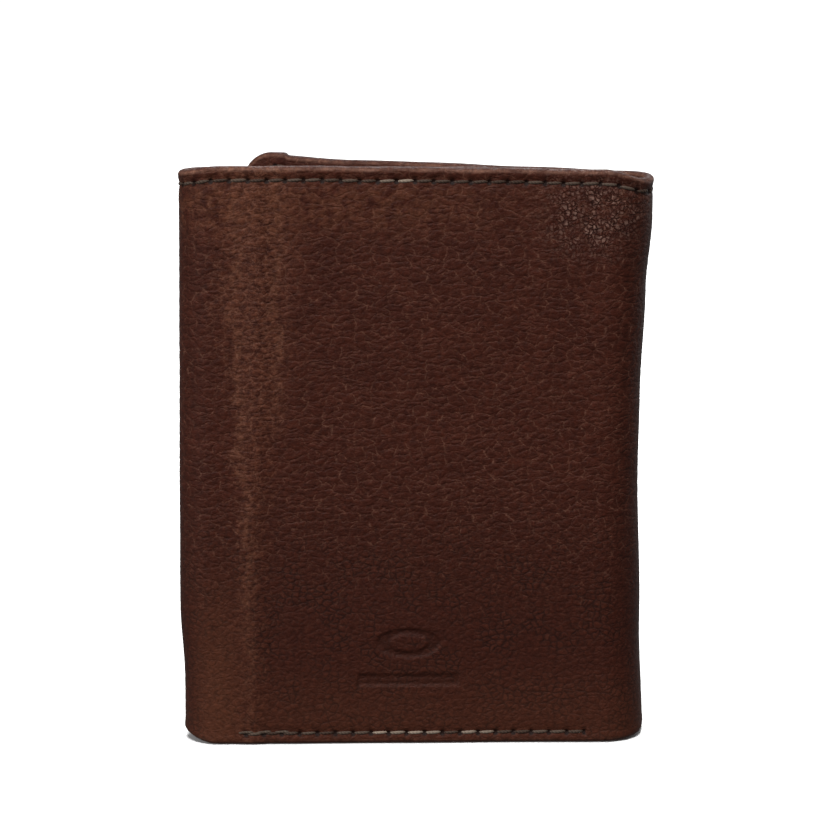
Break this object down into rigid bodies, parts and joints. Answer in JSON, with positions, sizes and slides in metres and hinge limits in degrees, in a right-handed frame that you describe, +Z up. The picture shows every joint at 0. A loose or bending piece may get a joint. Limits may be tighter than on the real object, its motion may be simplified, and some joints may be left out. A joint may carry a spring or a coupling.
{
  "type": "trifold wallet",
  "caption": "Portrait trifold leather wallet that stands on its bottom edge, with two flaps that fold behind the middle panel, card pockets, an ID window and a bill compartment.",
  "frame": {"origin": "centre of the bounding box at the bottom edge the wallet stands on, in the stored pose with the outer flap ajar", "axes": "+X to the right along the middle panel seen from its outside, +Y from that outside face towards the flaps behind it, +Z up along the wallet's height"},
  "size_m": [0.088, 0.0428, 0.1105],
  "materials": {
    "outer_leather": "satin, tumbled grain",
    "inner_leather": "matt",
    "lining_cloth": "woven",
    "thread": "waxed thread",
    "clear_film": "clear film"
  },
  "bodies": {
    "centre": {"card_base_centre": "inner_leather", "card_pocket_centre_1": "inner_leather", "card_pocket_centre_2": "inner_leather", "card_pocket_centre_3": "inner_leather", "hem_bottom_centre": "outer_leather", "hem_top_centre": "outer_leather", "lining_centre": "lining_cloth", "shell_centre": "outer_leather", "thread_bottom_centre": "thread", "thread_top_centre": "thread"},
    "right_spine": {"facing_fold_right_front": "inner_leather", "lining_fold_right_front": "lining_cloth", "shell_fold_right_front": "outer_leather"},
    "right_edge": {"facing_fold_right_rear": "inner_leather", "lining_fold_right_rear": "lining_cloth", "shell_fold_right_rear": "outer_leather"},
    "outer_flap": {"binding_side_outer_flap": "outer_leather", "card_base_outer_flap": "inner_leather", "card_pocket_outer_1": "inner_leather", "card_pocket_outer_2": "inner_leather", "hem_bottom_outer_flap": "outer_leather", "hem_top_outer_flap": "outer_leather", "lining_outer_flap": "lining_cloth", "shell_outer_flap": "outer_leather", "thread_outer_flap": "thread"},
    "left_spine": {"facing_fold_left": "inner_leather", "lining_fold_left": "lining_cloth", "shell_fold_left": "outer_leather"},
    "inner_flap": {"binding_side_inner_flap": "outer_leather", "card_base_inner_flap": "inner_leather", "hem_bottom_inner_flap": "outer_leather", "hem_top_inner_flap": "outer_leather", "id_window_film": "clear_film", "id_window_frame": "inner_leather", "lining_inner_flap": "lining_cloth", "shell_inner_flap": "outer_leather", "thread_inner_flap": "thread"}
  },
  "joints": [
    {"name": "right_fold_front", "type": "hinge", "parent": "centre", "child": "right_spine", "pos_m": [0.04067, -0.0193, 0.055], "axis": [0, 0, -1], "range_deg": [0, 81], "deforming": ["facing_fold_right_front", "lining_fold_right_front", "shell_fold_right_front"]},
    {"name": "right_fold_rear", "type": "hinge", "parent": "right_spine", "child": "right_edge", "pos_m": [0.04291, -0.00511, 0.055], "axis": [0, 0, -1], "range_deg": [0, 81], "deforming": ["facing_fold_right_rear", "lining_fold_right_rear", "shell_fold_right_rear"]},
    {"name": "outer_flap_hinge", "type": "hinge", "parent": "right_edge", "child": "outer_flap", "pos_m": [0.03847, -0.00174, 0.055], "axis": [0, 0, -1], "range_deg": [-18, 0]},
    {"name": "left_fold_front", "type": "hinge", "parent": "centre", "child": "left_spine", "pos_m": [-0.04214, -0.01928, 0.055], "axis": [0, 0, 1], "range_deg": [0, 90], "deforming": ["facing_fold_left", "lining_fold_left", "shell_fold_left"]},
    {"name": "left_fold_rear", "type": "hinge", "parent": "left_spine", "child": "inner_flap", "pos_m": [-0.04214, -0.0097, 0.055], "axis": [0, 0, 1], "range_deg": [0, 90]}
  ],
  "couplings": [
    {"joint": "right_fold_rear", "follows": "right_fold_front", "ratio": 1},
    {"joint": "left_fold_front", "follows": "right_fold_front", "ratio": 1.1111},
    {"joint": "left_fold_rear", "follows": "right_fold_front", "ratio": 1.1111}
  ]
}
